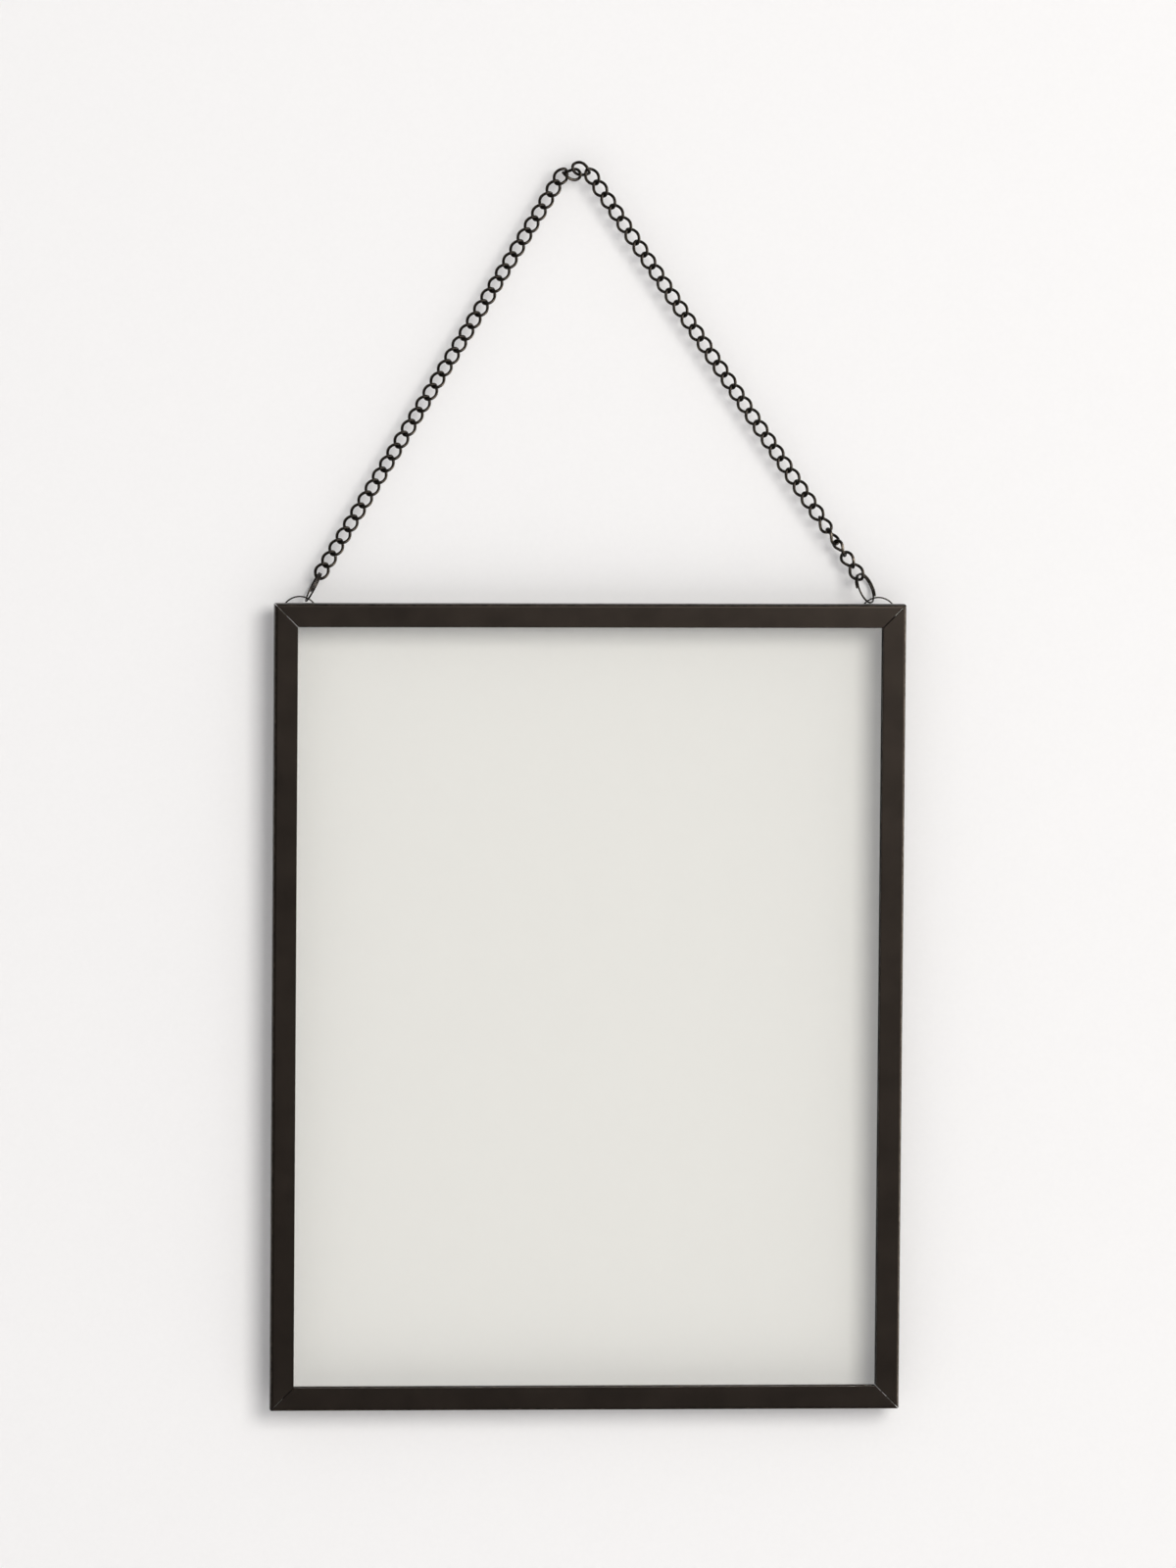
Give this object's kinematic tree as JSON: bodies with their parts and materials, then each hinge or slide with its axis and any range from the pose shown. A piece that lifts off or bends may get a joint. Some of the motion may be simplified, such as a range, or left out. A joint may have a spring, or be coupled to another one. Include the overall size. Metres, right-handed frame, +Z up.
{
  "type": "floating picture frame",
  "caption": "Upright wall frame of slim dark mitred metal around clear double glass, hung by a curb chain from rings at its top corners.",
  "frame": {"origin": "the point where the chain's top link rests on its nail", "axes": "+X to the right seen from the front, +Z up, the front faces -Y"},
  "size_m": [0.25, 0.015, 0.4944],
  "materials": {
    "frame_lacquer": "satin dark bronze-black lacquer on folded steel",
    "chain_steel": "blackened steel wire, slightly glossy",
    "ring_steel": "dark nickelled spring wire",
    "zinc_steel": "bare zinc-plated steel",
    "clear_glass": "clear float glass with a faint green edge"
  },
  "bodies": {
    "chain_top": {"chain_apex": "chain_steel", "chain_apex_side": "chain_steel", "chain_left_10": "chain_steel", "chain_right_10": "chain_steel"},
    "upper_chain": {"chain_left_06": "chain_steel", "chain_left_07": "chain_steel", "chain_left_08": "chain_steel", "chain_left_09": "chain_steel", "chain_right_06": "chain_steel", "chain_right_07": "chain_steel", "chain_right_08": "chain_steel", "chain_right_09": "chain_steel"},
    "lower_chain": {"chain_left_01": "chain_steel", "chain_left_02": "chain_steel", "chain_left_03": "chain_steel", "chain_left_04": "chain_steel", "chain_left_05": "chain_steel", "chain_right_01": "chain_steel", "chain_right_02": "chain_steel", "chain_right_03": "chain_steel", "chain_right_04": "chain_steel", "chain_right_05": "chain_steel"},
    "split_rings": {"split_ring_left": "ring_steel", "split_ring_right": "ring_steel"},
    "d_rings": {"d_ring_left": "ring_steel", "d_ring_right": "ring_steel"},
    "frame": {"left_stile": "frame_lacquer", "top_rail": "frame_lacquer", "right_stile": "frame_lacquer", "bottom_rail": "frame_lacquer", "corner_key_bottom_left": "zinc_steel", "corner_key_bottom_right": "zinc_steel", "corner_key_top_left": "zinc_steel", "corner_key_top_right": "zinc_steel", "front_pane": "clear_glass", "back_pane": "clear_glass", "retaining_strip_left": "frame_lacquer", "retaining_strip_top": "frame_lacquer", "retaining_strip_right": "frame_lacquer", "retaining_strip_bottom": "frame_lacquer", "turn_button_rivet_left": "zinc_steel", "turn_button_rivet_top": "zinc_steel", "turn_button_rivet_right": "zinc_steel", "turn_button_rivet_bottom": "zinc_steel", "hanger_tube_left": "frame_lacquer", "hanger_tube_right": "frame_lacquer"},
    "button_left": {"turn_button_left": "frame_lacquer"},
    "button_top": {"turn_button_top": "frame_lacquer"},
    "button_right": {"turn_button_right": "frame_lacquer"},
    "button_bottom": {"turn_button_bottom": "frame_lacquer"}
  },
  "joints": [
    {"name": "chain_swing", "type": "hinge", "parent": "chain_top", "child": "upper_chain", "pos_m": [0.00742, 0, -0.00649], "axis": [1, 0, 0], "range_deg": [-25, 25]},
    {"name": "chain_fold", "type": "hinge", "parent": "upper_chain", "child": "lower_chain", "pos_m": [0.00742, 0, -0.08211], "axis": [1, 0, 0], "range_deg": [-25, 25]},
    {"name": "ring_swing", "type": "hinge", "parent": "lower_chain", "child": "split_rings", "pos_m": [0.00742, 0, -0.16169], "axis": [1, 0, 0], "range_deg": [-22, 15]},
    {"name": "d_ring_swing", "type": "hinge", "parent": "split_rings", "child": "d_rings", "pos_m": [0.00742, 0, -0.17146], "axis": [1, 0, 0], "range_deg": [-2, 45]},
    {"name": "frame_tilt", "type": "hinge", "parent": "d_rings", "child": "frame", "pos_m": [0.00742, 0, -0.17736], "axis": [1, 0, 0], "range_deg": [-1.5, 100]},
    {"name": "button_turn_left", "type": "hinge", "parent": "frame", "child": "button_left", "pos_m": [-0.11458, -0.0012, -0.33236], "axis": [0, 1, 0], "range_deg": [-90, 90]},
    {"name": "button_turn_top", "type": "hinge", "parent": "frame", "child": "button_top", "pos_m": [0.00742, -0.0012, -0.17536], "axis": [0, 1, 0], "range_deg": [-90, 90]},
    {"name": "button_turn_right", "type": "hinge", "parent": "frame", "child": "button_right", "pos_m": [0.12942, -0.0012, -0.33236], "axis": [0, 1, 0], "range_deg": [-90, 90]},
    {"name": "button_turn_bottom", "type": "hinge", "parent": "frame", "child": "button_bottom", "pos_m": [0.00742, -0.0012, -0.48936], "axis": [0, 1, 0], "range_deg": [-90, 90]}
  ]
}
